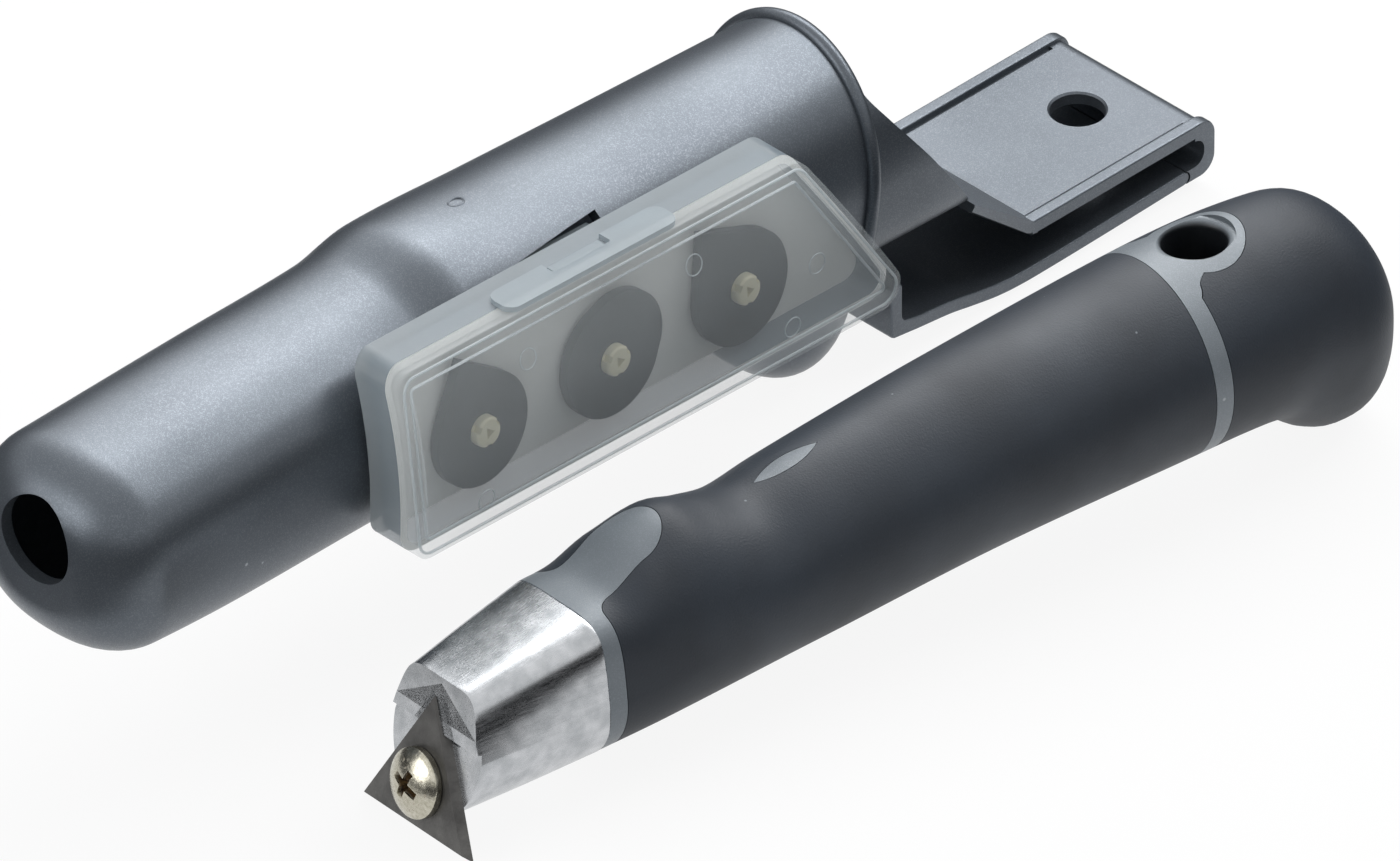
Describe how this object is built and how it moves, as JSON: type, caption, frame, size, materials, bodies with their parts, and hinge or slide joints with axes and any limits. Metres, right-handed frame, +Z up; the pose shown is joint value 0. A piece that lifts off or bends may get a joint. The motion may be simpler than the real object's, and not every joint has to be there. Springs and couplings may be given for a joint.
{
  "type": "hand scraper",
  "caption": "Pull scraper with a triangular blade in a notched steel head and a rubber-sleeved grip, with its tube holster, sprung belt clip and hinged case of spare blades.",
  "frame": {"origin": "centre of the bounding box's bottom face, on the table", "axes": "+X along the holster from its tip to its belt plate, +Z up, the blade case and the scraper on the -Y side"},
  "size_m": [0.2214, 0.0977, 0.0569],
  "materials": {
    "grip_plastic": "fine satin, blue grey",
    "grip_rubber": "soft matt, near black",
    "head_steel": "hand polished with faint drag lines",
    "tang_steel": "plain, hidden",
    "blade_steel": "dark ground",
    "screw_steel": "nickel plated, grime in the cross",
    "holster_plastic": "satin metallic grey",
    "case_plastic": "milky translucent"
  },
  "bodies": {
    "scraper": {"handle_core": "grip_plastic", "grip_sleeve": "grip_rubber", "grip_heel": "grip_rubber", "tang": "tang_steel", "tang_pin": "tang_steel", "scraper_head": "head_steel"},
    "blade": {"blade": "blade_steel"},
    "screw": {"blade_screw": "screw_steel"},
    "holster": {"holster_shell": "holster_plastic", "belt_stop": "holster_plastic", "belt_plate": "holster_plastic", "case_tray": "case_plastic"},
    "clip": {"belt_clip": "holster_plastic"},
    "lid": {"case_lid": "case_plastic"},
    "spare_drop": {"spare_blade_drop": "blade_steel"},
    "spare_round": {"spare_blade_round": "blade_steel"},
    "spare_corner": {"spare_blade_corner": "blade_steel"}
  },
  "joints": [
    {"name": "blade_release", "type": "slide", "parent": "scraper", "child": "blade", "axis": [-0.9581, 0.1376, 0.2513], "range_m": [0, 0.004]},
    {"name": "screw_turn", "type": "hinge", "parent": "blade", "child": "screw", "pos_m": [-0.07965, -0.01626, 0.00794], "axis": [-0.9581, 0.1376, 0.2513], "range_deg": [0, 1800]},
    {"name": "holster_away", "type": "slide", "parent": "scraper", "child": "holster", "axis": [0, 1, 0], "range_m": [0, 0.1]},
    {"name": "clip_flex", "type": "hinge", "parent": "holster", "child": "clip", "pos_m": [0.10435, 0.03054, 0.00295], "axis": [0, -1, 0], "range_deg": [0, 5], "stiffness_Nm_per_rad": 2},
    {"name": "lid_hinge", "type": "hinge", "parent": "holster", "child": "lid", "pos_m": [-0.01428, 0.00609, 0.02477], "axis": [0.9994, 0, -0.0349], "range_deg": [0, 57]},
    {"name": "spare_drop_slide", "type": "slide", "parent": "holster", "child": "spare_drop", "axis": [0.003, -0.9962, 0.0871], "range_m": [0, 0.002]},
    {"name": "spare_round_slide", "type": "slide", "parent": "holster", "child": "spare_round", "axis": [0.003, -0.9962, 0.0871], "range_m": [0, 0.002]},
    {"name": "spare_corner_slide", "type": "slide", "parent": "holster", "child": "spare_corner", "axis": [0.003, -0.9962, 0.0871], "range_m": [0, 0.002]}
  ],
  "couplings": [
    {"joint": "screw_turn", "follows": "blade_release", "rad_per_m": 7854}
  ]
}
